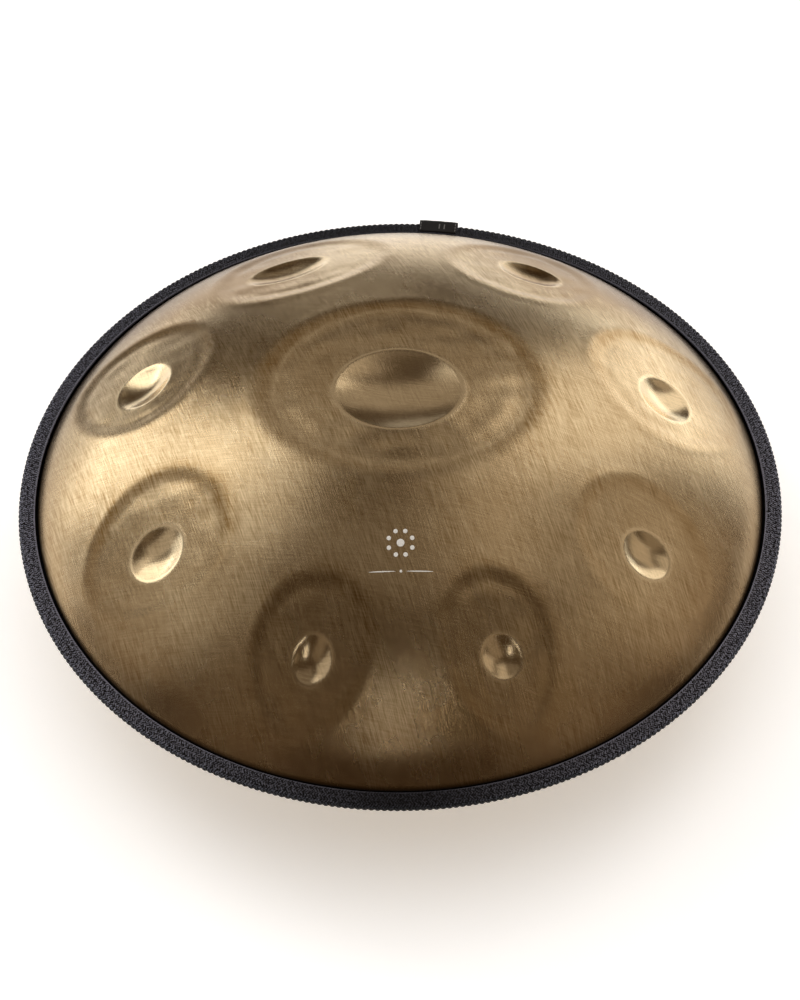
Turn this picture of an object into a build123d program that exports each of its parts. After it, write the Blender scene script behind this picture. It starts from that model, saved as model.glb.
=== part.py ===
from build123d import *
import os
from math import acos, asin, cos, degrees, radians, sin, sqrt

# Handpan: two pressed steel shells bonded flange to flange, with a woven tape folded over the rim.
# Origin on the playing axis, in the plane that the instrument rests on. +Z up, -Y towards the player.

# ---- Driving dimensions, millimetres and degrees ----
OVERALL_DIA = 550.0        # across the trimmed rim
SHEET = 1.2                # steel gauge of both shells
BASE_DIA = 522.8           # where the domed wall meets the flange, outside
FLANGE_DIA = 542.0
DOME_RISE = 111.6          # flange face to the crown, before the notes are hammered in
SHOULDER_RADIUS = 116.0    # outer, tighter arc of the dome
SHOULDER_SLOPE = 55.0      # steepness of the wall where it meets the flange
FLANGE_BEND = 2.0          # inside radius of the flange bend
BOND = 0.4                 # adhesive between the two flanges
BOND_MARGIN = 1.0          # the adhesive stops this far short of the flange's edges

PORT_DIA = 120.0           # clear bore of the port in the lower shell
PORT_NECK = 28.0           # how far the neck reaches into the shell
PORT_BEND = 10.0           # outside radius of the bend at the mouth
REST_WIDTH = 6.0           # flat ring around the mouth that the instrument stands on
REST_BLEND = 2.0           # beyond it the ring runs into the dome

TAPE = 1.8                 # thickness of the woven trim tape
TRIM_INNER_DIA = 525.2     # cut edge of the tape, just clear of the flange bend
TAB_WIDTH = 30.0           # woven tab folded over the trim
TAB_AZIMUTH = 83.0
TAB_THICKNESS = 0.8
TAB_LEG = 10.5             # length of the tab that lies on the tape
TAB_FOLD = 275.2           # radius at which the tab starts to fold round the rim
STITCH_DIA = 0.6
STITCH_LENGTH = 2.2
STITCH_PITCH = 3.1
STITCHES_PER_ROW = 3
STITCH_INSET = 1.4         # from the tab's side edge to a row of stitches
STITCH_START = 1.2         # from the tab's inner end to the first stitch

# Note fields on the upper shell. "at" is the distance of the dimple's centre from the axis,
# "oval" the flattened field and "dimple" the hollow in it, each as across x outward widths.
# "lean" is how far the oval's centre lies from the dimple's, anticlockwise and outward.
# The ding sits on the axis, and its outward direction points at the player.
NOTE_FIELDS = {
    "ding": dict(azimuth=-90.0, at=0.0, oval=(196, 161), dimple=(88, 73), sink=4.0, lean=(2, -7)),
    "note_1": dict(azimuth=-107.3, at=200.4, oval=(77, 112), dimple=(26, 34), sink=1.7, lean=(-2, -2)),
    "note_2": dict(azimuth=-70.8, at=201.5, oval=(73, 112), dimple=(26, 30), sink=1.6, lean=(0, -4)),
    "note_3": dict(azimuth=-148.8, at=195.8, oval=(97, 118), dimple=(37, 44), sink=2.6, lean=(-7, -2)),
    "note_4": dict(azimuth=-32.3, at=199.2, oval=(87, 109), dimple=(32, 39), sink=2.2, lean=(4, -3)),
    "note_5": dict(azimuth=164.0, at=192.2, oval=(108, 119), dimple=(44, 45), sink=3.2, lean=(-9, 7)),
    "note_6": dict(azimuth=10.5, at=195.6, oval=(109, 127), dimple=(43, 43), sink=3.2, lean=(13, 8)),
    "note_7": dict(azimuth=58.4, at=192.0, oval=(108, 114), dimple=(48, 42), sink=3.4, lean=(5, 0)),
    "note_8": dict(azimuth=116.1, at=187.8, oval=(128, 122), dimple=(61, 46), sink=4.0, lean=(-9, 0)),
}
DIMPLE_DEPTH = 0.25        # of the dimple's narrower half-width
DING_DEPTH = 0.22

# ---- Dome geometry shared by both shells ----
# The shoulder arc ends on the flange at the shoulder slope. The crown arc is tangent to it and
# has its centre on the axis.
base_r = BASE_DIA / 2
shoulder_r = base_r - SHOULDER_RADIUS * sin(radians(SHOULDER_SLOPE))
shoulder_h = -SHOULDER_RADIUS * cos(radians(SHOULDER_SLOPE))
drop = shoulder_h - DOME_RISE
CROWN_RADIUS = (SHOULDER_RADIUS**2 - shoulder_r**2 - drop**2) / (2 * (drop + SHOULDER_RADIUS))
crown_h = DOME_RISE - CROWN_RADIUS
join_slope = asin(shoulder_r / (CROWN_RADIUS - SHOULDER_RADIUS))

# ---- Heights ----
ring_r = PORT_DIA / 2 + PORT_BEND + REST_WIDTH + REST_BLEND
ring_drop = crown_h + sqrt(CROWN_RADIUS**2 - ring_r**2)
FLANGE_FACE = SHEET + BOND / 2
MID_HEIGHT = FLANGE_FACE + ring_drop
LOWER_FACE = MID_HEIGHT - FLANGE_FACE
UPPER_FACE = MID_HEIGHT + FLANGE_FACE


def dome_arcs(base, inset, way, start_r=0.0):
    """Crown and shoulder arcs of a dome on a flange whose outer face is at height base. The dome
    rises (way 1) or hangs (way -1). Its skin lies inset below the outer one and ends as far below
    the flange's face. The crown starts at radius start_r."""
    crown = Vector(0, base + way * crown_h)
    shoulder = Vector(shoulder_r, base + way * shoulder_h)
    crown_radius = CROWN_RADIUS - inset
    shoulder_radius = SHOULDER_RADIUS - inset
    join = crown + Vector(sin(join_slope), way * cos(join_slope)) * crown_radius
    start_slope = asin(start_r / crown_radius)
    mid_slope = (start_slope + join_slope) / 2
    start = crown + Vector(sin(start_slope), way * cos(start_slope)) * crown_radius
    mid_crown = crown + Vector(sin(mid_slope), way * cos(mid_slope)) * crown_radius
    foot_slope = acos(-(shoulder_h + inset) / shoulder_radius)
    half = (join_slope + foot_slope) / 2
    foot = shoulder + Vector(sin(foot_slope), way * cos(foot_slope)) * shoulder_radius
    mid_shoulder = shoulder + Vector(sin(half), way * cos(half)) * shoulder_radius
    ThreePointArc(start, mid_crown, join)
    ThreePointArc(join, mid_shoulder, foot)
    return start, foot


def field_plane(field, lean=(0, 0)):
    """Tangent plane of the crown at a note, or at its oval's centre: x across, z out of the shell."""
    tilt = asin(field["at"] / CROWN_RADIUS)
    turn = radians(field["azimuth"])
    across = Vector(-sin(turn), cos(turn), 0)
    outward = Vector(cos(tilt) * cos(turn), cos(tilt) * sin(turn), -sin(tilt))
    upright = Vector(sin(tilt) * cos(turn), sin(tilt) * sin(turn), cos(tilt))
    normal = (upright * CROWN_RADIUS + across * lean[0] + outward * lean[1]).normalized()
    centre = Vector(0, 0, UPPER_FACE + crown_h) + normal * CROWN_RADIUS
    return Plane(centre, x_dir=across, z_dir=normal)


def oval_barrel(field, inset):
    """Big barrel whose skin flattens the crown: it sinks below it at the oval's centre and meets it
    at the oval's border. Its two radii follow from the sink and the oval's two half-widths."""
    across, outward = field["oval"]
    sink = field["sink"]
    across_radius = 1 / (1 / CROWN_RADIUS - 2 * sink / (across / 2) ** 2)
    outward_radius = 1 / (1 / CROWN_RADIUS - 2 * sink / (outward / 2) ** 2)
    place = field_plane(field, field["lean"])
    along = place.x_dir if across_radius > outward_radius else place.y_dir
    long_radius = max(across_radius, outward_radius)
    girth = min(across_radius, outward_radius)
    side = Plane(place.origin, x_dir=along, z_dir=along.cross(place.z_dir))
    half_length = sqrt((long_radius - inset) ** 2 - (long_radius - girth) ** 2)
    axis_height = -sink - girth
    with BuildPart() as barrel:
        with BuildSketch(side):
            with BuildLine():
                ends = [(-half_length, axis_height), (half_length, axis_height)]
                ThreePointArc(ends[0], (0, -sink - inset), ends[1])
                Line(ends[1], ends[0])
            make_face()
        revolve(axis=Axis(side.from_local_coords((0, axis_height)), along))
    return barrel.part


def dimple_spindle(field, inset):
    """Egg shape, round about its long axis, that presses an oval hollow into the flattened field."""
    across, outward = field["dimple"]
    share = DING_DEPTH if field["at"] == 0 else DIMPLE_DEPTH
    depth = share * min(across, outward) / 2
    half_width = min(across, outward) / 2
    girth = (half_width**2 + depth**2) / (2 * depth)
    half_length = max(across, outward) / 2 * girth / half_width
    place = field_plane(field)
    along = place.x_dir if across >= outward else place.y_dir
    side = Plane(place.origin, x_dir=along, z_dir=along.cross(place.z_dir))
    height = girth - depth - field["sink"]
    with BuildPart() as spindle:
        with BuildSketch(side):
            with BuildLine():
                bottom = EllipticalCenterArc(
                    (0, height), half_length + inset, girth + inset, 180, arc_size=180
                )
                Line(bottom @ 1, bottom @ 0)
            make_face()
        revolve(axis=Axis(side.from_local_coords((0, height)), along))
    return spindle.part


def domed_form(inset):
    """Solid under the upper shell's outer skin, or under its inner skin when inset by the gauge."""
    barrels = [oval_barrel(field, inset) for field in NOTE_FIELDS.values()]
    spindles = [dimple_spindle(field, inset) for field in NOTE_FIELDS.values()]
    with BuildPart() as form:
        with BuildSketch(Plane.XZ):
            with BuildLine():
                top, foot = dome_arcs(UPPER_FACE, inset, 1)
                edge = foot + Vector(FLANGE_BEND, 0)
                Polyline(foot, edge, edge - Vector(0, SHEET), (0, foot.Y - SHEET), top)
            make_face()
            fillet(vertices().sort_by_distance(foot)[0], FLANGE_BEND + inset)
        revolve(axis=Axis.Z)
        for barrel in barrels:
            add(barrel, mode=Mode.INTERSECT)
        for spindle in spindles:
            add(spindle, mode=Mode.SUBTRACT)
    return form.part


# ---- Upper shell: dome with the ding and eight note fields ----
outer_form = domed_form(0)
inner_form = domed_form(SHEET)
with BuildPart() as upper_shell:
    with BuildSketch(Plane.XY.offset(UPPER_FACE - SHEET)):
        Circle(FLANGE_DIA / 2)
    extrude(amount=SHEET)
    add(outer_form)
    add(inner_form, mode=Mode.SUBTRACT)
upper_shell.part.label = "upper_shell"

# ---- Lower shell: plain dome with a flat ring and a turned-in neck around the port ----
port_r = PORT_DIA / 2
mouth_r = port_r + PORT_BEND
with BuildPart() as lower_shell:
    with BuildSketch(Plane.XZ):
        with BuildLine() as skin:
            ring_edge, foot = dome_arcs(LOWER_FACE, 0, -1, ring_r)
            Line(foot, (FLANGE_DIA / 2, LOWER_FACE))
            Line((mouth_r, 0), ring_edge)
            bend = CenterArc((mouth_r, PORT_BEND), PORT_BEND, 180, 90)
            Line(bend @ 0, (port_r, PORT_NECK))
            fillet(skin.vertices().sort_by_distance(foot)[0], FLANGE_BEND)
            offset(amount=SHEET, side=Side.LEFT)
        make_face()
    revolve(axis=Axis.Z)
lower_shell.part.label = "lower_shell"

# ---- Adhesive ring between the flanges ----
with BuildPart() as flange_bond:
    with BuildSketch(Plane.XY.offset(MID_HEIGHT - BOND / 2)):
        Circle(FLANGE_DIA / 2 - BOND_MARGIN)
        Circle(base_r + BOND_MARGIN, mode=Mode.SUBTRACT)
    extrude(amount=BOND)
flange_bond.part.label = "flange_bond"

# ---- Strips folded over the rim ----
rim_plane = Plane((0, 0, MID_HEIGHT), x_dir=(1, 0, 0), z_dir=(0, -1, 0))
trim_half = FLANGE_FACE + TAPE
trim_inner = TRIM_INNER_DIA / 2
tab_half = trim_half + TAB_THICKNESS


def folded_section(inner, fold, half, mode=Mode.ADD):
    """Radial section over the rim: flat on both sides from radius inner to fold, then half round."""
    with BuildLine() as outline:
        Line((inner, half), (fold, half))
        CenterArc((fold, 0), half, 90, -180)
        Polyline((fold, -half), (inner, -half), (inner, half))
    make_face(outline.edges(), mode=mode)


# ---- Woven trim tape, its slot filled by both flanges ----
slot_width = FLANGE_DIA / 2 - trim_inner
with BuildPart() as rim_trim:
    with BuildSketch(rim_plane):
        folded_section(trim_inner, OVERALL_DIA / 2 - trim_half, trim_half)
        with Locations((trim_inner + slot_width / 2, 0)):
            Rectangle(slot_width, 2 * FLANGE_FACE, mode=Mode.SUBTRACT)
    revolve(axis=Axis.Z)
rim_trim.part.label = "rim_trim"

# ---- Folded tab at the back: a loose loop of label tape over the joint of the trim ----
tab_angle = degrees(TAB_WIDTH / TAB_FOLD)
tab_start = TAB_FOLD - TAB_LEG
with BuildPart() as trim_tab:
    with BuildSketch(rim_plane.rotated((0, 0, TAB_AZIMUTH - tab_angle / 2))):
        folded_section(tab_start, TAB_FOLD, tab_half)
        folded_section(tab_start, TAB_FOLD, trim_half, mode=Mode.SUBTRACT)
    revolve(axis=Axis.Z, revolution_arc=tab_angle)
trim_tab.part.label = "trim_tab"

# ---- Stitches along both side edges of the tab, above and below ----
tab_plane = Plane.XY.offset(MID_HEIGHT).rotated((0, 0, TAB_AZIMUTH))
first_stitch = tab_start + STITCH_START + STITCH_LENGTH / 2
row = TAB_WIDTH / 2 - STITCH_INSET
stitch_spots = [
    (first_stitch + n * STITCH_PITCH, side * row, tab_half)
    for side in (-1, 1)
    for n in range(STITCHES_PER_ROW)
]
with BuildPart(tab_plane) as tab_stitches:
    with Locations(*stitch_spots):
        Cylinder(STITCH_DIA / 2, STITCH_LENGTH, rotation=(0, 90, 0))
    split(bisect_by=Plane.XY.offset(MID_HEIGHT + tab_half), keep=Keep.TOP)
    mirror(about=Plane.XY.offset(MID_HEIGHT))
tab_stitches.part.label = "tab_stitches"

pieces = [upper_shell, lower_shell, flange_bond, rim_trim, trim_tab, tab_stitches]
os.makedirs("parts", exist_ok=True)
for piece in pieces:
    export_step(piece.part, f"parts/{piece.part.label}.step")
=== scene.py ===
"""Handpan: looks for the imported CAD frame.

Every surface is worked out with numpy in the frame's own coordinates, in metres. The shells are
profiles carried round the playing axis, with the note fields pressed into the upper one.
"""

import bpy
import numpy as np
from bpy.props import FloatProperty, FloatVectorProperty, IntProperty, PointerProperty
from mathutils import Matrix, Vector


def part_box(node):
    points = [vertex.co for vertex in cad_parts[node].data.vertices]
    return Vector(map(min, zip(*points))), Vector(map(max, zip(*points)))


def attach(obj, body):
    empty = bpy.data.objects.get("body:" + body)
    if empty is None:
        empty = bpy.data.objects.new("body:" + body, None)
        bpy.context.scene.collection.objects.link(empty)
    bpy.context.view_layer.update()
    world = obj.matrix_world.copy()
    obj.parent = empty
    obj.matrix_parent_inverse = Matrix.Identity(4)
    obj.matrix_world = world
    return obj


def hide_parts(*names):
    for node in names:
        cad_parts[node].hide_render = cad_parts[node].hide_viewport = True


bl_info = {
    "name": "Handpan",
    "version": (1, 0, 0),
    "blender": (4, 5, 0),
    "location": "View3D > Sidebar > Handpan",
    "description": "Builds a steel handpan round its packed frame",
    "category": "Object",
}

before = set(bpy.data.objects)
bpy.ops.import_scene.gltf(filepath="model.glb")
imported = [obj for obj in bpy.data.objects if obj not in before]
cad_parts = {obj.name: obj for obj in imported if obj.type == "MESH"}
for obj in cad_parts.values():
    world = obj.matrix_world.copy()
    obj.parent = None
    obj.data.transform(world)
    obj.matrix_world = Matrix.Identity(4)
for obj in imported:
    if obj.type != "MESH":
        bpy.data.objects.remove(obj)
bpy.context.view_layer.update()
MM = 0.001

# ---- Places that the frame gives ----
UPPER_LOW, UPPER_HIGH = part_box("upper_shell")
TRIM_LOW, TRIM_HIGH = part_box("rim_trim")
LOWER_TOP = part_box("lower_shell")[1].z
TAB_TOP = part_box("trim_tab")[1].z
MID_HEIGHT = (TRIM_LOW.z + TRIM_HIGH.z) / 2
TRIM_HALF = (TRIM_HIGH.z - TRIM_LOW.z) / 2
RIM_RADIUS = TRIM_HIGH.x
FLANGE_RADIUS = UPPER_HIGH.x

# Note fields: azimuth of the dimple in degrees, its distance from the axis, the oval field's
# widths and the dimple's widths (across x outward), how far the oval's centre leans from the
# dimple's (anticlockwise, outward), how deep the oval sinks, and the dimple's depth. In mm.
DING = (-90.0, 0.0, (196, 161), (88, 73), (2, -7), 4.0, 8.0)
NOTES = (
    (-107.3, 200.4, (77, 112), (26, 34), (-2, -2), 1.7, 3.3),
    (-70.8, 201.5, (73, 112), (26, 30), (0, -4), 1.6, 3.3),
    (-148.8, 195.8, (97, 118), (37, 44), (-7, -2), 2.6, 4.6),
    (-32.3, 199.2, (87, 109), (32, 39), (4, -3), 2.2, 4.0),
    (164.0, 192.2, (108, 119), (44, 45), (-9, 7), 3.2, 5.5),
    (10.5, 195.6, (109, 127), (43, 43), (13, 8), 3.2, 5.4),
    (58.4, 192.0, (108, 114), (48, 42), (5, 0), 3.4, 5.3),
    (116.1, 187.8, (128, 122), (61, 46), (-9, 0), 4.0, 5.8),
)

# Distance between the tape's yarns as they are drawn, in mm. A whole number of them goes round.
YARN_PITCH = 2.0

# Height of the gentle waves that the hand leaves over the steel, in metres.
HAND_WORK = 0.12 * MM

# Softboxes: name, azimuth and elevation seen from the rim's centre, apparent width and height, all
# in degrees, then brightness and warmth. The wash lights only the floor and the printed ornament.
SOFTBOXES = (
    ("left_key", 145, 28, 22, 46, 1.55, 0.03),
    ("left_low", 156, 6, 34, 17, 0.80, -0.02),
    ("left_top", 150, 58, 32, 16, 0.60, 0.05),
    ("right_key", 46, 27, 26, 56, 0.94, 0.06),
    ("right_low", 54, 2, 52, 13, 0.80, -0.04),
    ("back_panel", 92, 45, 42, 28, 0.23, 0.12),
    ("back_low", 98, 13, 22, 13, 0.30, 0.0),
    ("right_side", 4, 28, 38, 36, 0.34, 0.15),
    ("left_side", 184, 32, 28, 46, 0.34, 0.08),
    ("front_right", 318, 34, 30, 40, 0.15, 0.2),
    ("front_left", 226, 32, 24, 40, 0.09, 0.2),
    ("overhead", -90, 85, 46, 26, 0.11, 0.12),
    ("right_top", 18, 66, 38, 24, 0.36, 0.12),
    ("front_card", -92, 46, 3, 16, 3.0, 0.06),
)
FLOOR_WASH = ("floor_wash", 0, 89.9, 62, 62, 1.8, 0.0)
WASH_DISTANCE = 3.2
ROOM_LIGHT = (0.050, 0.031, 0.016, 1)

# Printed ornament: centre across and away from the player, then half-sizes, in mm.
ORNAMENT_CENTRE = (0.0, 9.0, 2.6, 2.6)
ORNAMENT_RULE = ((-12.5, -9.5, 9.0, 0.35), (12.5, -9.5, 9.0, 0.35), (0.0, -9.5, 0.9, 0.9))
ORNAMENT_RING = 8.4
ORNAMENT_DOT = 1.5
# How a printed spot is rounded off: share of its half-size, then height over the steel in mm.
INK_EDGE = ((0.05, 0.03), (0.55, 0.03), (0.97, 0.03), (1.0, 0.0), (0.97, -0.15), (0.05, -0.15))


def length_property(name, description, default_mm, low_mm=0.0, high_mm=2000.0):
    """A length in metres whose default is given in millimetres."""
    return FloatProperty(
        name=name,
        description=description,
        default=default_mm * MM,
        min=low_mm * MM,
        max=high_mm * MM,
        unit="LENGTH",
        precision=5,
    )


def colour_property(name, description, default_hex):
    """A colour given as sRGB hex and kept linear."""
    return FloatVectorProperty(
        name=name,
        description=description,
        default=linear(default_hex)[:3],
        min=0.0,
        max=1.0,
        size=3,
        subtype="COLOR",
    )


def linear(hex_value):
    """sRGB hex such as "#A08660" as linear RGBA: the sRGB curve undone channel by channel."""
    digits = hex_value.lstrip("#")
    channels = [int(digits[i : i + 2], 16) / 255 for i in (0, 2, 4)]
    curve = [c / 12.92 if c <= 0.04045 else ((c + 0.055) / 1.055) ** 2.4 for c in channels]
    return (*curve, 1.0)


class ShellSizes(bpy.types.PropertyGroup):
    """Sizes of the two pressed shells."""

    sheet: length_property("Sheet", "Steel gauge of both shells", 1.2)
    base_radius: length_property("Base radius", "Where the domed wall meets the flange", 261.4)
    rise: length_property("Dome rise", "Flange face to the crown before the notes", 111.6)
    shoulder_radius: length_property("Shoulder radius", "Outer, tighter arc of the dome", 116.0)
    shoulder_slope: FloatProperty(
        name="Shoulder slope",
        description="Steepness of the wall at the flange",
        default=np.radians(55.0),
        subtype="ANGLE",
    )
    bend: length_property("Flange bend", "Inside radius of the bend at the flange", 2.0)
    port_radius: length_property("Port radius", "Clear bore of the port below", 60.0)
    port_neck: length_property("Port neck", "How far the neck reaches into the shell", 28.0)
    port_bend: length_property("Port bend", "Outside radius of the bend at the mouth", 10.0)
    rest_width: length_property("Rest ring", "Width of the flat ring that it stands on", 6.0)
    rest_blend: length_property("Rest blend", "Where the ring runs into the dome", 2.0)
    turns: IntProperty(
        name="Meridians",
        description="Mesh lines that run from crown to rim",
        default=480,
        min=48,
        max=720,
    )


class TrimSizes(bpy.types.PropertyGroup):
    """Sizes of the woven tape folded over the rim, of its tab and of the printed ornament."""

    tape: length_property("Tape", "Thickness of the trim tape", 1.8)
    cut_radius: length_property("Cut edge", "Radius of the tape's inner edge", 262.9)
    ribs: IntProperty(
        name="Crimps",
        description="Crimped ridges round the rim",
        default=400,
        min=0,
        max=600,
    )
    crimp: length_property("Crimp depth", "How deep the crimps are at the fold", 0.7)
    tab_azimuth: FloatProperty(
        name="Tab azimuth",
        description="Where the tab is folded over the trim",
        default=np.radians(83.0),
        subtype="ANGLE",
    )
    tab_width: length_property("Tab width", "Across the folded tab", 30.0)
    tab_fold: length_property("Tab fold", "Radius where the tab starts to fold", 275.2)
    tab_leg: length_property("Tab leg", "How far the tab lies on the tape", 10.5)
    tab_fabric: length_property("Tab fabric", "Thickness of the tab", 0.8)
    tab_pucker: length_property("Tab pucker", "How deep the tab's creases are", 0.15)
    stitch: length_property("Stitch", "Thickness of the sewing thread", 0.6)
    stitch_length: length_property("Stitch length", "Visible length of a stitch", 2.2)
    stitch_pitch: length_property("Stitch pitch", "From one stitch to the next", 3.1)
    stitch_start: length_property("Stitch start", "From the tab's end to the first stitch", 1.2)
    stitch_inset: length_property("Stitch inset", "From the tab's side to a row", 1.4)
    stitches: IntProperty(
        name="Stitches",
        description="Stitches in one row",
        default=3,
        min=1,
        max=3,
    )
    ornament_forward: length_property("Ornament", "From the axis to the printed ornament", 133.0)


class PieceColours(bpy.types.PropertyGroup):
    """Colours of the steel, the tape and the threads."""

    gold: colour_property("Gold", "Bright, well-brushed patina", "#EFD9B0")
    bronze: colour_property("Bronze", "Darker patina", "#A08050")
    umber: colour_property("Umber", "Patina towards the rim", "#8A6238")
    yarn: colour_property("Yarn", "Lit threads of the trim tape", "#C3C9E4")
    shade_yarn: colour_property("Shaded yarn", "Threads that lie deeper", "#040407")
    label: colour_property("Label", "Ground of the folded tab", "#101013")
    thread: colour_property("Thread", "Sewing thread and woven bars", "#B9BABC")
    ink: colour_property("Ink", "Printed ornament", "#D6D3CC")


class StageSizes(bpy.types.PropertyGroup):
    """Camera, floor and softboxes."""

    distance: length_property("Camera distance", "From the aim to the camera", 1803.0, 0, 9000)
    elevation: FloatProperty(
        name="Camera elevation",
        description="Height of the camera above the rim's plane, as an angle",
        default=np.radians(50.02),
        subtype="ANGLE",
    )
    roll: FloatProperty(
        name="Camera roll",
        description="Tilt of the picture about the line of sight",
        default=np.radians(-0.74),
        subtype="ANGLE",
    )
    lens: FloatProperty(
        name="Lens", description="Focal length in mm on a 36 mm frame", default=90.0, min=10.0
    )
    aim_forward: length_property("Aim", "How far the aim lies towards the player", 10.3)
    softbox_distance: length_property("Softboxes", "From the rim's centre", 2300.0, 0, 9000)
    floor_glow: FloatProperty(
        name="Floor glow", description="Light from inside the opal floor", default=0.32, min=0.0
    )
    floor_size: length_property("Floor", "Side of the square floor", 30000.0, 0, 60000)


# ---- Mesh helpers ----
def link_mesh(name, vertices, corners, sizes, corner_uv=None):
    """Object from vertices, the vertex of every face corner in one row, the number of corners of
    each face, and a UV for every corner, in millimetres along the surface."""
    mesh = bpy.data.meshes.new(name)
    mesh.vertices.add(len(vertices))
    mesh.vertices.foreach_set("co", vertices.astype(np.float32).ravel())
    starts = np.concatenate([[0], np.cumsum(sizes)[:-1]])
    mesh.loops.add(len(corners))
    mesh.loops.foreach_set("vertex_index", corners.astype(np.int32))
    mesh.polygons.add(len(sizes))
    mesh.polygons.foreach_set("loop_start", starts.astype(np.int32))
    mesh.update(calc_edges=True)
    if corner_uv is not None:
        layer = mesh.uv_layers.new(name="millimetres")
        layer.uv.foreach_set("vector", corner_uv.astype(np.float32).ravel())
    if mesh.validate():
        raise RuntimeError(f"{name} has broken faces")
    mesh.shade_smooth()
    piece = bpy.data.objects.new(name, mesh)
    bpy.context.scene.collection.objects.link(piece)
    return piece


def grid_mesh(name, rings, start_pole=None, end_pole=None, closed=False, along=None, round_mm=0.0):
    """Object from rings of points (rings, turns, 3). Each point makes a quad with its neighbours on
    its own ring and on the next, and every ring is closed on itself. A pole closes an end with a
    fan, and closed joins the last ring to the first. UVs run from 0 to round_mm round a ring, and
    take the along value of each ring."""
    count, turns = rings.shape[:2]
    vertices = rings.reshape(-1, 3)
    index = np.arange(count * turns).reshape(count, turns)
    onward = np.roll(index, -1, axis=1)
    pairs = np.arange(count if closed else count - 1)
    after = (pairs + 1) % count
    quads = np.stack([index[pairs], index[after], onward[after], onward[pairs]], -1).reshape(-1, 4)
    fans = []
    if start_pole is not None:
        pole = np.full(turns, len(vertices))
        fans.append(np.stack([pole, index[0], onward[0]], -1))
        vertices = np.vstack([vertices, start_pole])
    if end_pole is not None:
        pole = np.full(turns, len(vertices))
        fans.append(np.stack([pole, onward[-1], index[-1]], -1))
        vertices = np.vstack([vertices, end_pole])
    triangles = np.concatenate(fans) if fans else np.zeros((0, 3), int)
    corners = np.concatenate([quads.ravel(), triangles.ravel()])
    sizes = np.concatenate([np.full(len(quads), 4), np.full(len(triangles), 3)])
    uv = None
    if along is not None:
        across = np.arange(turns) / turns * round_mm
        step = round_mm / turns
        ends = np.append(along, along[0])[pairs + 1]
        u = np.stack([across, across, across + step, across + step], -1)
        v = np.stack([along[pairs], ends, ends, along[pairs]], -1)
        shape = (len(pairs), turns, 4)
        uv = np.stack([np.broadcast_to(u, shape), np.broadcast_to(v[:, None], shape)], -1)
    return link_mesh(name, vertices, corners, sizes, uv)


def thick_strip(name, outer, inner, u_mm, v_mm):
    """Closed strip between two grids of points (rows, columns, 3): outer faces out, inner faces
    back, and a wall joins their borders. UVs are u_mm along the columns and v_mm along the rows."""
    rows, columns = outer.shape[:2]
    grid = np.arange(rows * columns).reshape(rows, columns)
    border = np.concatenate([grid[0, :-1], grid[:-1, -1], grid[-1, :0:-1], grid[:0:-1, 0]])
    beyond = np.roll(border, -1)
    lift = rows * columns
    top = np.stack([grid[:-1, :-1], grid[1:, :-1], grid[1:, 1:], grid[:-1, 1:]], -1).reshape(-1, 4)
    wall = np.stack([border, beyond, beyond + lift, border + lift], -1)
    quads = np.concatenate([top, top[:, ::-1] + lift, wall])
    place = np.stack(np.meshgrid(u_mm, v_mm), -1).reshape(-1, 2)
    uv = np.concatenate([place, place])[quads.ravel()]
    vertices = np.concatenate([outer.reshape(-1, 3), inner.reshape(-1, 3)])
    return link_mesh(name, vertices, quads.ravel(), np.full(len(quads), 4), uv)


def turned(radius, height, angles):
    """Profile (radius, height) carried round the axis at the given angles: rings of points."""
    x = radius[:, None] * np.cos(angles)
    y = radius[:, None] * np.sin(angles)
    return np.stack([x, y, np.broadcast_to(height[:, None], x.shape)], -1)


def crowded(low, high, count, spots, width, share):
    """Count values from low to high that stand closer together near the spots: the density is one
    plus share times a bell curve of the given width at each spot, and its integral is inverted."""
    fine = np.linspace(low, high, 8000)
    bells = np.exp(-(((fine[:, None] - np.asarray(spots)) / width) ** 2)).sum(1)
    total = np.concatenate([[0], np.cumsum((1 + share * bells)[1:])])
    return np.interp(np.linspace(0, total[-1], count), total, fine)


# ---- Shell geometry ----
def dome_arcs(sizes):
    """Radii of the crown and shoulder arcs, the shoulder's centre and the angle of their join,
    over the flange face. The shoulder ends on the flange at its slope. The crown is tangent to it
    and has its centre on the axis."""
    shoulder = sizes.shoulder_radius
    out = sizes.base_radius - shoulder * np.sin(sizes.shoulder_slope)
    up = -shoulder * np.cos(sizes.shoulder_slope)
    drop = up - sizes.rise
    crown = (shoulder**2 - out**2 - drop**2) / (2 * (drop + shoulder))
    join = np.arcsin(out / (crown - shoulder))
    return crown, shoulder, out, up, join


def dome_profile(sizes, start, count, spots=(), width=1.0, share=0.0):
    """Outer skin from crown to flange edge as (radius, height over the flange face): crown arc,
    shoulder arc, hollow bend, then the flat flange. Spots are radii that get closer rings."""
    crown, shoulder, out, up, join = dome_arcs(sizes)
    tangent = sizes.bend * np.tan(sizes.shoulder_slope / 2)
    crown_length = crown * join
    end = crown_length + shoulder * (sizes.shoulder_slope - join) - tangent
    first = crown * np.arcsin(start / crown)
    along = crowded(first, end, count, [crown * np.arcsin(s / crown) for s in spots], width, share)
    low = along / crown
    high = join + (along - crown_length) / shoulder
    on_crown = along < crown_length
    radius = np.where(on_crown, crown * np.sin(low), out + shoulder * np.sin(high))
    height = np.where(
        on_crown, sizes.rise - crown * (1 - np.cos(low)), up + shoulder * np.cos(high)
    )
    turn = np.linspace(sizes.shoulder_slope, 0, 7)[1:]
    bend_r = sizes.base_radius + tangent - sizes.bend * np.sin(turn)
    bend_z = sizes.bend - sizes.bend * np.cos(turn)
    flange_r = np.linspace(bend_r[-1], FLANGE_RADIUS, 5)[1:]
    radius = np.concatenate([radius, bend_r, flange_r])
    height = np.concatenate([height, bend_z, np.zeros(4)])
    return radius, height


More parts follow.
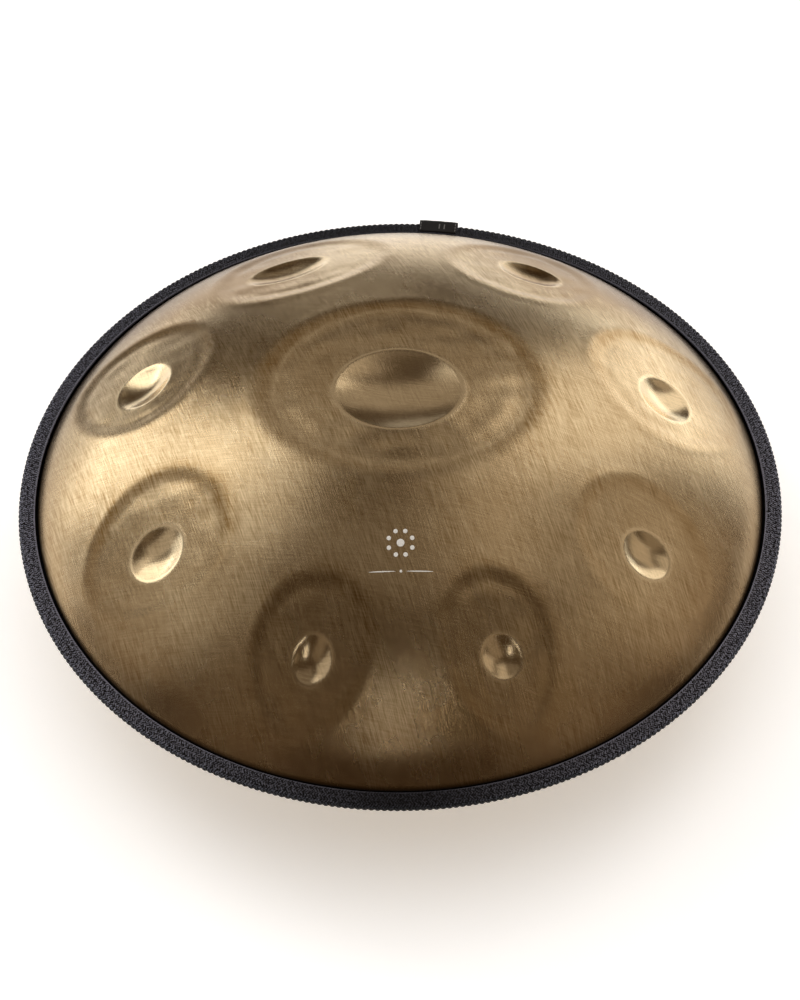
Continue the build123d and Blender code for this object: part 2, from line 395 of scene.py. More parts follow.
def note_axes(sizes, azimuth, distance, lean):
    """Centre on the crown and the across, outward and upright directions of a note field."""
    crown = dome_arcs(sizes)[0]
    tilt = np.arcsin(distance / crown)
    turn = np.radians(azimuth)
    across = np.array([-np.sin(turn), np.cos(turn), 0.0])
    outward = np.array([np.cos(tilt) * np.cos(turn), np.cos(tilt) * np.sin(turn), -np.sin(tilt)])
    upright = np.cross(outward, across)
    upright = upright + (across * lean[0] + outward * lean[1]) / crown
    upright = upright / np.linalg.norm(upright)
    across = across - upright * (across @ upright)
    across = across / np.linalg.norm(across)
    outward = np.cross(across, upright)
    centre = upright * crown + np.array([0, 0, sizes.rise - crown])
    return centre, across, outward, upright


def soft_step(value, softness):
    """The larger of value and 0 with the corner rounded: half of value plus its smooth modulus."""
    return 0.5 * (value + np.sqrt(value**2 + softness**2))


def oval_distance(points, centre, across, outward, half_across, half_outward, taper):
    """0 at an oval's centre and 1 on its border. The oval narrows outwards by the taper."""
    away = points - centre
    u = away @ across
    v = (away @ outward) / half_outward
    narrowing = 1 - taper * np.clip(v, -1.5, 1.5)
    return np.sqrt((u / (half_across * narrowing)) ** 2 + v**2)


def bell(value, centre, width):
    """Bell curve of height 1 at the centre."""
    return np.exp(-(((value - centre) / width) ** 2))


def field_reaches(points, sizes):
    """For each note field, its row and how far each point lies from its oval's centre and from its
    dimple's: 0 at the centre and 1 on the border. The last value points out of the shell there."""
    for row in (DING, *NOTES):
        azimuth, distance, oval, dimple, lean = row[:5]
        taper = 0.0 if distance == 0 else 0.10
        half = np.array(oval) / 2 * MM
        place = note_axes(sizes, azimuth, distance * MM, np.array(lean) * MM)
        pan = oval_distance(points, *place[:3], *half, taper)
        half = np.array(dimple) / 2 * MM
        spot = note_axes(sizes, azimuth, distance * MM, (0, 0))
        yield row, pan, oval_distance(points, *spot[:3], *half, 0.0), spot[3]


def press_notes(points, sizes):
    """Presses the note fields into points of the plain dome, which stand over the flange face.
    Two thirds of an oval's depth follow one less its distance squared, the rest is a rounded step
    at its border with a low crest outside it. Each dimple does the first, with a crisp lip."""
    pressed = points
    for row, pan, bowl, upright in field_reaches(points, sizes):
        sink, depth = row[5:]
        step = 1 / (1 + np.exp((pan - 0.95) / 0.035))
        push = sink * (0.68 * soft_step(1 - pan**2, 0.06) + 0.32 * step)
        push += depth * soft_step(1 - bowl**2, 0.03) - 0.08 * sink * bell(pan, 1.08, 0.06)
        # A faint groove and ridge inside the border, hammer waves, and a raised lip.
        push += 0.03 * sink * (bell(pan, 0.84, 0.05) - 0.7 * bell(pan, 0.76, 0.05))
        push += 0.5 * undulation(points, 1.0, 9, 0.018, 0.040) * bell(pan, 0.7, 0.25)
        push -= 0.025 * depth * bell(bowl, 1.04, 0.04)
        pressed = pressed - (push * MM)[..., None] * upright
    return pressed


def steel_marks(points, sizes):
    """What the steel's material reads from the upper shell: a tone, with painted shade at the back
    and on the ovals' borders, and painted highlights in the dimples and on their lips; 1 inside the
    dimples; the share of umber towards the rim; and the share of painted shade, which is 1 at the
    foot of the wall and up to a half towards the rim at the back."""
    zone = np.zeros(points.shape[:2])
    hollow = np.zeros(points.shape[:2])
    ring = np.zeros(points.shape[:2])
    crest = np.zeros(points.shape[:2])
    for row, pan, bowl, _ in field_reaches(points, sizes):
        zone = np.maximum(zone, np.clip((1.03 - pan) / 0.08, 0, 1))
        # Painted light in the dimples, which are also made smoother.
        hollow = np.maximum(hollow, np.clip((1.05 - bowl) / 0.1, 0, 1))
        # Painted shade on the borders, 13 mm wide, darkest behind a field's centre, and paler on
        # small fields.
        half = min(row[2]) / 2 * MM
        behind = (points[..., 1] - row[1] * MM * np.sin(np.radians(row[0]))) / half
        share = np.clip(0.62 + 0.5 * behind, 0.1, 1) * (0.6 if half < 45 * MM else 1.0)
        ring = np.maximum(ring, share * bell(pan, 0.99, 6.5 * MM / half))
        # Painted highlights on the lips of the dimples, 2.8 mm wide, and a painted light ring on
        # the ding as well.
        crest = np.maximum(crest, bell(bowl, 1.03, 2.8 / min(row[3])))
        if row is DING:
            crest = np.maximum(crest, 0.6 * bell(pan, 0.91, 0.018))
    radius = np.hypot(points[..., 0], points[..., 1])
    # Painted shade behind the ding, to the left and right of the middle; umber and painted shade
    # towards the rim.
    far = np.clip((points[..., 1] - 0.10) / 0.05, 0, 1)
    far = far * np.clip((np.abs(points[..., 0]) - 0.05) / 0.05, 0, 1)
    outer = np.clip((radius - 0.210) / 0.045, 0, 1)
    back = np.clip(0.5 + points[..., 1] / 0.15, 0, 1)
    return {
        "tone": 0.28 * hollow - 0.03 * zone - 0.38 * ring + 0.5 * crest - 0.7 * far,
        "bowl": hollow,
        "edge": outer * (0.45 - 0.2 * back),
        # Painted shade: black at the foot of the wall, in the gap under the trim, and up to half
        # towards the rim at the back.
        "painted_shade": np.maximum(np.clip((radius - 0.2598) / 0.0014, 0, 1), 0.5 * outer * back),
    }


def undulation(points, size, seed, shortest=0.030, longest=0.090):
    """Gentle hand-worked waves over the steel: a sum of slanted sines of the given lengths."""
    draw = np.random.default_rng(seed)
    waves = 9
    headings = draw.uniform(0, 2 * np.pi, waves)
    lengths = draw.uniform(shortest, longest, waves)
    phases = draw.uniform(0, 2 * np.pi, waves)
    run = points[..., 0, None] * np.cos(headings) + points[..., 1, None] * np.sin(headings)
    return size * np.sin(2 * np.pi * run / lengths + phases).sum(-1) / waves


def surface_normals(rings):
    """Unit normals of rings of points, from differences along and round them."""
    along = np.gradient(rings, axis=0)
    around = np.roll(rings, -1, axis=1) - np.roll(rings, 1, axis=1)
    normals = np.cross(along, around)
    return normals / np.maximum(np.linalg.norm(normals, axis=-1, keepdims=True), 1e-12)


def sheet_body(name, skin, normals, sheet, inner_rings):
    """Closed sheet: the outer skin, then the chosen rings again one gauge beneath it."""
    under = (skin - normals * sheet)[inner_rings[::-1]]
    rings = np.concatenate([skin[1:], under[:-1]])
    return grid_mesh(name, rings, skin[0].mean(0), under[-1].mean(0))


def mark_points(piece, name, numbers):
    """Stores one number per vertex under a name, for a material to read."""
    layer = piece.data.attributes.new(name, "FLOAT", "POINT")
    layer.data.foreach_set("value", numbers.astype(np.float32).ravel())


def arc(centre, radius, start, end, count):
    """Points of an arc in the (radius, height) plane, angles in degrees from outward."""
    angle = np.radians(np.linspace(start, end, count))
    return np.stack([centre[0] + radius * np.cos(angle), centre[1] + radius * np.sin(angle)], -1)


def path_lengths(points):
    """Length along a path from its first point, in millimetres."""
    return np.append(0, np.cumsum(np.linalg.norm(np.diff(points, axis=0), axis=1))) / MM


# ---- Materials ----
def add_node(tree, kind, inputs=None, **settings):
    """Adds a node with its settings. Inputs give, by index or name, a value, another node, whose
    first output is linked, or one of its sockets."""
    node = tree.nodes.new(kind)
    for key, value in settings.items():
        setattr(node, key, value)
    for key, value in (inputs or {}).items():
        if isinstance(value, bpy.types.Node):
            tree.links.new(value.outputs[0], node.inputs[key])
        elif isinstance(value, bpy.types.NodeSocket):
            tree.links.new(value, node.inputs[key])
        else:
            node.inputs[key].default_value = value
    return node


def new_material(name):
    """Empty node material and its tree."""
    material = bpy.data.materials.new(name)
    material.use_nodes = True
    material.node_tree.nodes.clear()
    return material, material.node_tree


def nitrided_steel():
    """Nitrided steel, brushed by hand: a warm metal whose fine hairlines blur the highlights along
    one direction, under a cloudy straw-to-bronze patina. The shell's own marks paint shade on the
    borders of its note fields, behind the ding and at the foot of the wall, paint highlights in the
    dimples and on their lips, add umber towards the rim, and smooth the dimples."""
    colours = bpy.context.scene.handpan_colours
    material, tree = new_material("nitrided_steel_hand_brushed")
    place = add_node(tree, "ShaderNodeTexCoord").outputs["Object"]
    marks = {}
    for name in ("tone", "bowl", "edge", "painted_shade"):
        marks[name] = add_node(tree, "ShaderNodeAttribute", attribute_name=name).outputs["Fac"]
    # Size of the features in mm, detail, roughness, direction in plan in degrees and stretch.
    patterns = {
        "hairlines": (0.9, 3.0, 0.7, 18.0, 18.0),
        "cross_lines": (0.9, 2.0, 0.65, 78.0, 18.0),
        "clouds": (55.0, 5.0, 0.62, 0.0, 1.0),
        "wear": (30.0, 4.0, 0.6, 18.0, 2.0),
    }
    for name, (scale, detail, roughness, turn, stretch) in patterns.items():
        laid = add_node(
            tree,
            "ShaderNodeMapping",
            {
                "Vector": place,
                "Rotation": (0, 0, np.radians(turn)),
                "Scale": (1.0, stretch, stretch),
            },
            vector_type="TEXTURE",
        )
        noise = {"Scale": 1 / (scale * MM), "Detail": detail, "Roughness": roughness}
        marks[name] = add_node(tree, "ShaderNodeTexNoise", {"Vector": laid, **noise})
    wear_and_painted_light = {"From Min": 0.38, "From Max": 0.62, "To Min": 0.8, "To Max": 2.2}
    strength = add_node(tree, "ShaderNodeMapRange", {"Value": marks["wear"], **wear_and_painted_light})
    calm = add_node(
        tree, "ShaderNodeMath", {0: marks["bowl"], 1: -0.5, 2: 1.0}, operation="MULTIPLY_ADD"
    )
    strength = add_node(tree, "ShaderNodeMath", {0: strength, 1: calm}, operation="MULTIPLY")
    # Middle of the scale between bronze and gold, moved by the shell's tone with its painted shade
    # and highlights, then each pattern's share about its mean of 0.5.
    lit = add_node(tree, "ShaderNodeMath", {0: marks["tone"], 1: 0.62}, operation="ADD")
    for name, share in (("hairlines", strength), ("cross_lines", 0.7), ("clouds", 0.7)):
        swing = add_node(tree, "ShaderNodeMath", {0: marks[name], 1: 0.5}, operation="SUBTRACT")
        lit = add_node(
            tree, "ShaderNodeMath", {0: swing, 1: share, 2: lit}, operation="MULTIPLY_ADD"
        )
    lit.use_clamp = True
    patina = add_node(
        tree,
        "ShaderNodeMix",
        {0: lit, 6: (*colours.bronze, 1), 7: (*colours.gold, 1)},
        data_type="RGBA",
    )
    # Umber towards the rim, then the painted shade in near-black.
    for name, tint in (("edge", colours.umber), ("painted_shade", colours.shade_yarn)):
        patina = add_node(
            tree,
            "ShaderNodeMix",
            {0: marks[name], 6: patina.outputs[2], 7: (*tint, 1)},
            data_type="RGBA",
        )
    grain = add_node(
        tree,
        "ShaderNodeMath",
        {0: marks["cross_lines"], 1: 0.35, 2: marks["hairlines"]},
        operation="MULTIPLY_ADD",
    )
    relief = add_node(tree, "ShaderNodeMath", {0: calm, 1: 0.38}, operation="MULTIPLY")
    height = {"Height": grain, "Strength": relief, "Distance": 0.3 * MM}
    bump = add_node(tree, "ShaderNodeBump", height)
    rough = add_node(
        tree, "ShaderNodeMath", {0: marks["wear"], 1: 0.14, 2: 0.20}, operation="MULTIPLY_ADD"
    )
    rough = add_node(
        tree, "ShaderNodeMath", {0: marks["bowl"], 1: -0.06, 2: rough}, operation="MULTIPLY_ADD"
    )
    steel = {"Base Color": patina.outputs[2], "Normal": bump, "Roughness": rough, "Metallic": 1.0}
    shader = add_node(tree, "ShaderNodeBsdfPrincipled", steel)
    add_node(tree, "ShaderNodeOutputMaterial", {"Surface": shader})
    return material


def woven_tape():
    """Polyester tape, woven in herringbone: matt dark yarns with a painted grey-blue highlight on
    their crowns, painted lighter at the left and right sides of the rim and painted dark on its
    under side.
    The yarns are drawn coarser than real ones, so that they show."""
    colours = bpy.context.scene.handpan_colours
    material, tree = new_material("polyester_tape_herringbone")
    uv = add_node(tree, "ShaderNodeUVMap", uv_map="millimetres").outputs["UV"]
    split = add_node(tree, "ShaderNodeSeparateXYZ", {"Vector": uv}).outputs
    zigzag = add_node(tree, "ShaderNodeMath", {0: split["Y"], 1: 2.4}, operation="PINGPONG")
    slant = add_node(
        tree, "ShaderNodeMath", {0: zigzag, 1: 0.8, 2: split["X"]}, operation="MULTIPLY_ADD"
    )
    lines = {}
    for name, source, period in (("yarn", slant, YARN_PITCH), ("pick", split["Y"], 1.3)):
        phase = add_node(
            tree, "ShaderNodeMath", {0: source, 1: 2 * np.pi / period}, operation="MULTIPLY"
        )
        lines[name] = add_node(tree, "ShaderNodeMath", {0: phase}, operation="SINE")
    crown = add_node(
        tree,
        "ShaderNodeMath",
        {0: lines["pick"], 1: 0.35, 2: lines["yarn"]},
        operation="MULTIPLY_ADD",
    )
    fuzz = add_node(
        tree, "ShaderNodeTexNoise", {"Vector": uv, "Scale": 0.55, "Detail": 2.0, "Roughness": 0.9}
    )
    fuzz = add_node(tree, "ShaderNodeMath", {0: fuzz, 1: 6.0, 2: -2.75}, operation="MULTIPLY_ADD")
    lit = add_node(tree, "ShaderNodeMath", {0: crown, 1: 0.42, 2: fuzz}, operation="MULTIPLY_ADD")
    # Painted highlight: a thin light line along the tape's inner edge.
    edge_highlight = add_node(
        tree,
        "ShaderNodeMapRange",
        {"Value": split["Y"], "From Min": 1.5, "From Max": 0.9, "To Max": 1.4},
    )
    lit = add_node(tree, "ShaderNodeMath", {0: lit, 1: edge_highlight}, operation="ADD", use_clamp=True)
    # The painted side light and under-side shade that the trim marks on its mesh.
    wear_and_painted_light = add_node(tree, "ShaderNodeAttribute", attribute_name="wear_and_painted_light").outputs["Fac"]
    lit = add_node(tree, "ShaderNodeMath", {0: lit, 1: wear_and_painted_light}, operation="MULTIPLY")
    # Painted light: the lit yarn colour on the crowns, the shaded yarn colour between them and
    # where painted shade falls.
    colour = add_node(
        tree,
        "ShaderNodeMix",
        {0: lit, 6: (*colours.shade_yarn, 1), 7: (*colours.yarn, 1)},
        data_type="RGBA",
    )
    height = {"Height": crown, "Strength": 0.7, "Distance": 0.4 * MM}
    bump = add_node(tree, "ShaderNodeBump", height)
    cloth = {
        "Base Color": colour.outputs[2],
        "Normal": bump,
        "Roughness": 0.5,
        "Specular IOR Level": 0.2,
        "Sheen Weight": 0.06,
        "Sheen Roughness": 0.35,
        "Sheen Tint": linear("#B4BCD6"),
    }
    shader = add_node(tree, "ShaderNodeBsdfPrincipled", cloth)
    add_node(tree, "ShaderNodeOutputMaterial", {"Surface": shader})
    return material


def woven_label():
    """Satin-woven label: a near-black ribbed ground with three plain light bars woven in."""
    colours = bpy.context.scene.handpan_colours
    material, tree = new_material("satin_label_woven")
    uv = add_node(tree, "ShaderNodeUVMap", uv_map="millimetres").outputs["UV"]
    split = add_node(tree, "ShaderNodeSeparateXYZ", {"Vector": uv}).outputs
    phase = add_node(tree, "ShaderNodeMath", {0: split["X"], 1: 2 * np.pi}, operation="MULTIPLY")
    ribs = add_node(tree, "ShaderNodeMath", {0: phase}, operation="SINE")
    bars = add_node(tree, "ShaderNodeMath", {0: split["X"], 1: 2.0}, operation="PINGPONG")
    # The mark is where three patterns are each within a distance of their middles: the bars
    # themselves, their reach across the label and their height on it. 0.55 is its strength.
    mark = 0.55
    for source, middle, half in ((bars, 2.0, 0.5), (split["X"], 12.0, 5.0), (split["Y"], 6.0, 2.6)):
        inside = add_node(
            tree, "ShaderNodeMath", {0: source, 1: middle, 2: half}, operation="COMPARE"
        )
        mark = add_node(tree, "ShaderNodeMath", {0: inside, 1: mark}, operation="MULTIPLY")
    colour = add_node(
        tree,
        "ShaderNodeMix",
        {0: mark, 6: (*colours.label, 1), 7: (*colours.thread, 1)},
        data_type="RGBA",
    )
    bump = add_node(tree, "ShaderNodeBump", {"Height": ribs, "Strength": 0.4, "Distance": 0.1 * MM})
    cloth = {"Base Color": colour.outputs[2], "Normal": bump, "Roughness": 0.6, "Sheen Weight": 0.1}
    shader = add_node(tree, "ShaderNodeBsdfPrincipled", cloth)
    add_node(tree, "ShaderNodeOutputMaterial", {"Surface": shader})
    return material


def speckled_material(name, colour, metallic, roughness, grain_mm, depth, glow=0.0):
    """Plain finish with a fine grain in its tone and a slight texture, lit from inside by the
    glow."""
    material, tree = new_material(name)
    place = add_node(tree, "ShaderNodeTexCoord").outputs["Object"]
    grain = add_node(
        tree, "ShaderNodeTexNoise", {"Vector": place, "Scale": 1 / (grain_mm * MM), "Detail": 4.0}
    )
    dark = (*(channel * (1 - depth) for channel in colour[:3]), 1.0)
    tone = add_node(
        tree, "ShaderNodeMix", {0: grain, 6: dark, 7: (*colour[:3], 1.0)}, data_type="RGBA"
    )
    relief = {"Height": grain, "Strength": 0.1, "Distance": grain_mm * MM * 0.1}
    finish = {
        "Base Color": tone.outputs[2],
        "Normal": add_node(tree, "ShaderNodeBump", relief),
        "Metallic": metallic,
        "Roughness": roughness,
        "Emission Color": (1.0, 1.0, 1.0, 1.0),
        "Emission Strength": glow,
    }
    shader = add_node(tree, "ShaderNodeBsdfPrincipled", finish)
    add_node(tree, "ShaderNodeOutputMaterial", {"Surface": shader})
    return material


def finish_piece(piece, material, node):
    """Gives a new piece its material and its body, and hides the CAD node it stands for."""
    piece.data.materials.clear()
    piece.data.materials.append(material)
    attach(piece, "root")
    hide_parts(node)


# ---- Operators ----
class HANDPAN_OT_upper_shell(bpy.types.Operator):
    """Upper shell with the ding and eight note fields pressed into it"""

    bl_idname = "handpan.upper_shell"
    bl_label = "Upper shell"

    def execute(self, context):
        sizes = context.scene.handpan_shell_sizes
        lips = np.array([36, 44, 175, 187, 199, 211, 223]) * MM
        radius, height = dome_profile(sizes, 0.0, 136, lips, 9 * MM, 1.3)
        note_angles = np.radians(np.array([note[0] for note in NOTES]) % 360)
        angles = crowded(0, 2 * np.pi, sizes.turns + 1, note_angles, np.radians(8), 1.0)[:-1]
        plain = turned(radius, height, angles)
        skin = press_notes(plain, sizes)
        fade = np.clip((sizes.base_radius - radius) / (40 * MM), 0, 1)[:, None]
        skin[..., 2] -= fade * (HAND_WORK + undulation(skin, HAND_WORK, 4))
        skin[..., 2] += UPPER_LOW.z + sizes.sheet
        normals = surface_normals(skin)
        normals[0] = (0, 0, 1)
        wall = len(radius) - 10
        inner = np.concatenate([np.arange(0, wall, 6), np.arange(wall, len(radius))])
        shell = sheet_body("upper_shell_skin", skin, normals, sizes.sheet, inner)
        order = np.concatenate([np.arange(1, len(radius)), inner[::-1][:-1]])
        for name, marks in steel_marks(plain, sizes).items():
            poles = marks[0, :1]
            mark_points(shell, name, np.concatenate([marks[order].ravel(), poles, poles]))
        finish_piece(shell, nitrided_steel(), "upper_shell")
        return {"FINISHED"}


class HANDPAN_OT_lower_shell(bpy.types.Operator):
    """Plain lower shell with its rest ring and the turned-in neck of the port"""

    bl_idname = "handpan.lower_shell"
    bl_label = "Lower shell"

    def execute(self, context):
        sizes = context.scene.handpan_shell_sizes
        mouth = sizes.port_radius + sizes.port_bend
        ring = mouth + sizes.rest_width + sizes.rest_blend
        radius, height = dome_profile(sizes, ring, 70)
        skirt = np.stack([radius, LOWER_TOP - sizes.sheet - height], -1)[::-1]
        flat = np.stack([np.linspace(ring, mouth, 5), np.zeros(5)], -1)[1:-1]
        bend = arc((mouth, sizes.port_bend), sizes.port_bend, 270, 180, 10)
        reach = np.linspace(sizes.port_bend, sizes.port_neck, 8)
        neck = np.stack([np.full(8, sizes.port_radius), reach], -1)
        outer = np.concatenate([skirt, flat, bend, neck[1:]])
        step = np.gradient(outer, axis=0)
        normal = np.stack([-step[:, 1], step[:, 0]], -1)
        normal = normal / np.linalg.norm(normal, axis=1, keepdims=True)
        normal[0] = (0, -1)
        inner = outer - normal * sizes.sheet
        inner[:, 0] = np.where(outer[:, 0] > FLANGE_RADIUS - MM, outer[:, 0], inner[:, 0])
        section = np.concatenate([outer, inner[::-1]])
        angles = np.linspace(0, 2 * np.pi, 361)[:-1]
        rings = turned(section[:, 0], section[:, 1], angles)
        shell = grid_mesh("lower_shell_skin", rings, closed=True)
        steel = bpy.data.materials["nitrided_steel_hand_brushed"]
        finish_piece(shell, steel, "lower_shell")
        return {"FINISHED"}


class HANDPAN_OT_flange_bond(bpy.types.Operator):
    """Adhesive between the flanges: the CAD ring with a cured epoxy finish"""

    bl_idname = "handpan.flange_bond"
    bl_label = "Flange bond"

    def execute(self, context):
        epoxy = speckled_material("epoxy_adhesive_cured", linear("#93897A"), 0.0, 0.45, 1.2, 0.3)
        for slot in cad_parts["flange_bond"].material_slots:
            slot.material = epoxy
        return {"FINISHED"}


class HANDPAN_OT_rim_trim(bpy.types.Operator):
    """Woven tape folded over both flanges, crimped all the way round"""

    bl_idname = "handpan.rim_trim"
    bl_label = "Rim trim"

    def execute(self, context):
        sizes = context.scene.handpan_trim_sizes
        half = TRIM_HALF
        slot = half - sizes.tape
        fold = RIM_RADIUS - half
        cut = sizes.cut_radius
        soft = 0.5 * MM
        upper = arc((cut + soft, half - soft), soft, 180, 90, 4)
        flat = np.stack([np.linspace(cut + soft, fold, 8)[1:-1], np.full(6, half)], -1)
        nose = arc((fold, 0), half, 90, -90, 13)
        top = np.concatenate([upper, flat])
        outside = np.concatenate([top, nose, (top * (1, -1))[::-1]])
        ways = ((cut, -slot), (FLANGE_RADIUS, -slot), (FLANGE_RADIUS, slot), (cut, slot))
        section = np.concatenate([outside, ways])
        along = np.append(path_lengths(outside), np.full(4, -3.0))
        turns = max(sizes.ribs, 60) * 6
        angles = np.linspace(0, 2 * np.pi, turns + 1)[:-1]
        reach = np.clip((section[:, 0] - cut - 3 * MM) / (fold - cut - 3 * MM), 0, 1) ** 1.5
        reach[len(outside):] = 0
        groove = (0.5 - 0.5 * np.cos(sizes.ribs * angles)) ** 2
        depth = sizes.crimp * reach[:, None] * groove
        bulge = np.stack([section[:, 0] - fold, section[:, 1]], -1)
        bulge[:, 0] = np.maximum(bulge[:, 0], 0)
        bulge = bulge / np.maximum(np.linalg.norm(bulge, axis=1, keepdims=True), 1e-9)
        radius = section[:, :1] - bulge[:, :1] * depth
        height = section[:, 1:] - bulge[:, 1:] * depth + MID_HEIGHT
        rings = np.stack([radius * np.cos(angles), radius * np.sin(angles), height], -1)
        whole = YARN_PITCH * round(2 * np.pi * RIM_RADIUS / MM / YARN_PITCH)
        trim = grid_mesh("rim_trim_tape", rings, closed=True, along=along, round_mm=whole)
        # Painted light and shade: the tape is made lighter at the left and right sides, most
        # towards the front, where the side softboxes catch it, and painted dark on its under side,
        # which lies in shade.
        side_light = np.abs(np.cos(angles)) * (1.05 - 0.5 * np.sin(angles)) - 0.1
        above = np.clip((13.6 - along) / 2.6, 0, 1)[:, None]
        mark_points(trim, "wear_and_painted_light", above * (0.15 + 0.85 * np.clip(side_light, 0, 1)))
        finish_piece(trim, woven_tape(), "rim_trim")
        return {"FINISHED"}


class HANDPAN_OT_trim_tab(bpy.types.Operator):
    """Woven label folded loosely over the trim, with its two rows of stitches"""

    bl_idname = "handpan.trim_tab"
    bl_label = "Trim tab"

    def execute(self, context):
        sizes = context.scene.handpan_trim_sizes
        half = TAB_TOP - MID_HEIGHT
        fold = sizes.tab_fold
        start = fold - sizes.tab_leg
        leg = np.stack([np.linspace(start, fold, 10), np.full(10, half)], -1)
        nose = arc((fold, 0), half, 90, -90, 17)
        outer = np.concatenate([leg, nose[1:-1], (leg * (1, -1))[::-1]])
        middle = np.stack([np.minimum(outer[:, 0], fold), np.zeros(len(outer))], -1)
        bulge = outer - middle
        bulge = bulge / np.linalg.norm(bulge, axis=1, keepdims=True)
        inner = outer - bulge * sizes.tab_fabric
        spread = sizes.tab_width / fold / 2
        angles = sizes.tab_azimuth + np.linspace(-spread, spread, 31)
        pucker = 0.5 - 0.5 * np.cos((angles - sizes.tab_azimuth) / spread * 3 * np.pi)
        lift = np.clip((outer[:, 0] - start) / (4 * MM), 0, 1)[:, None] * pucker * sizes.tab_pucker
        faces = []
        for side in (outer, inner):
            radius = side[:, :1] - bulge[:, :1] * lift
            height = side[:, 1:] - bulge[:, 1:] * lift + MID_HEIGHT
            faces.append(np.stack([radius * np.cos(angles), radius * np.sin(angles), height], -1))
        width = np.linspace(0, sizes.tab_width / MM, len(angles))
        tab = thick_strip("trim_tab_label", *faces, width, path_lengths(outer))
        finish_piece(tab, woven_label(), "trim_tab")
        row = sizes.tab_width / 2 - sizes.stitch_inset
        first = start + sizes.stitch_start + sizes.stitch_length / 2
        pieces = []
        for level in (1, -1):
            for side in (-1, 1):
                for number in range(sizes.stitches):
                    out = first + sizes.stitch_pitch * number
                    pieces.append(stitch_points(sizes, out, side * row, level * half))
        stitches = joined_tubes("tab_stitch_threads", pieces)
        colour = context.scene.handpan_colours.thread
        thread = speckled_material("cotton_thread_twisted", colour, 0.0, 0.7, 0.3, 0.35)
        finish_piece(stitches, thread, "tab_stitches")
        return {"FINISHED"}


def stitch_points(sizes, out, side, level):
    """Rings of one stitch: a thread of the full thickness at its middle that dives into the label
    at both ends, laid radially at the given distance along and across the tab."""
    thick = sizes.stitch / 2
    share = np.linspace(-1, 1, 7)
    across = np.linspace(0, 2 * np.pi, 9)[:-1]
    width = thick * np.sqrt(np.clip(1 - share**2 * 0.85, 0, 1))
    along = out + share * sizes.stitch_length / 2
    sway = side + width[:, None] * np.cos(across)
    rise = level + width[:, None] * np.sin(across) * 0.95
    turn = sizes.tab_azimuth
    along = np.broadcast_to(along[:, None], sway.shape)
    x = along * np.cos(turn) - sway * np.sin(turn)
    y = along * np.sin(turn) + sway * np.cos(turn)
    return np.stack([x, y, rise + MID_HEIGHT], -1)


def joined_tubes(name, tubes):
    """One object from short tubes of equal ring counts, each closed by a fan at both ends."""
    tubes = np.stack(tubes)
    count, rows, turns = tubes.shape[:3]
    ends = np.stack([tubes[:, 0].mean(1), tubes[:, -1].mean(1)], 1)
    vertices = np.concatenate([tubes.reshape(count, -1, 3), ends], 1)
    index = np.arange(rows * turns).reshape(rows, turns)
    onward = np.roll(index, -1, axis=1)
    quads = np.stack([index[:-1], onward[:-1], onward[1:], index[1:]], -1).reshape(-1, 4)
    first = np.stack([np.full(turns, rows * turns), onward[0], index[0]], -1)
    last = np.stack([np.full(turns, rows * turns + 1), index[-1], onward[-1]], -1)
    base = np.arange(count)[:, None] * (rows * turns + 2)
    quads = (quads.ravel() + base).ravel()
    fans = (np.concatenate([first, last]).ravel() + base).ravel()
    sizes = np.concatenate([np.full(len(quads) // 4, 4), np.full(len(fans) // 3, 3)])
    return link_mesh(name, vertices.reshape(-1, 3), np.concatenate([quads, fans]), sizes)


class HANDPAN_OT_ornament(bpy.types.Operator):
    """Printed ornament on the upper shell: a ring of dots round a larger one, over a thin rule"""

    bl_idname = "handpan.ornament"
    bl_label = "Ornament"

    def execute(self, context):
        shell = context.scene.handpan_shell_sizes
        forward = context.scene.handpan_trim_sizes.ornament_forward
        around = np.radians(np.arange(8) * 45 + 22.5)
        ring_x = ORNAMENT_CENTRE[0] + ORNAMENT_RING * np.cos(around)
        ring_y = ORNAMENT_CENTRE[1] + ORNAMENT_RING * np.sin(around)
        dots = [(x, y, ORNAMENT_DOT, ORNAMENT_DOT) for x, y in zip(ring_x, ring_y)]
        share, lift = np.array(INK_EDGE[::-1]).T[..., None]
        turn = np.linspace(0, 2 * np.pi, 25)[:-1]
        tubes = []
        for x, y, wide, high in (ORNAMENT_CENTRE, *dots, *ORNAMENT_RULE):
            across = (x + wide * share * np.cos(turn)) * MM
            away = -forward + (y + high * share * np.sin(turn)) * MM
            over = np.broadcast_to(lift * MM, across.shape)
            tubes.append(on_upper_shell(np.stack([across, away, over], -1), shell))
        ornament = joined_tubes("printed_ornament", tubes)
        colour = context.scene.handpan_colours.ink
        ink = speckled_material("screen_ink_printed", colour, 0.0, 0.5, 0.8, 0.08)
        ornament.data.materials.append(ink)
        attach(ornament, "root")
        return {"FINISHED"}


def on_upper_shell(points, sizes):
    """Points (x, y, lift) moved onto the pressed dome, the lift kept as height over it."""
    crown = dome_arcs(sizes)[0]
    radius = np.hypot(points[..., 0], points[..., 1])
    plain = points.copy()
    plain[..., 2] = sizes.rise - crown + np.sqrt(crown**2 - radius**2)
    pressed = press_notes(plain, sizes)
    pressed[..., 2] -= HAND_WORK + undulation(pressed, HAND_WORK, 4)
    pressed[..., 2] += UPPER_LOW.z + sizes.sheet + points[..., 2]
    return pressed


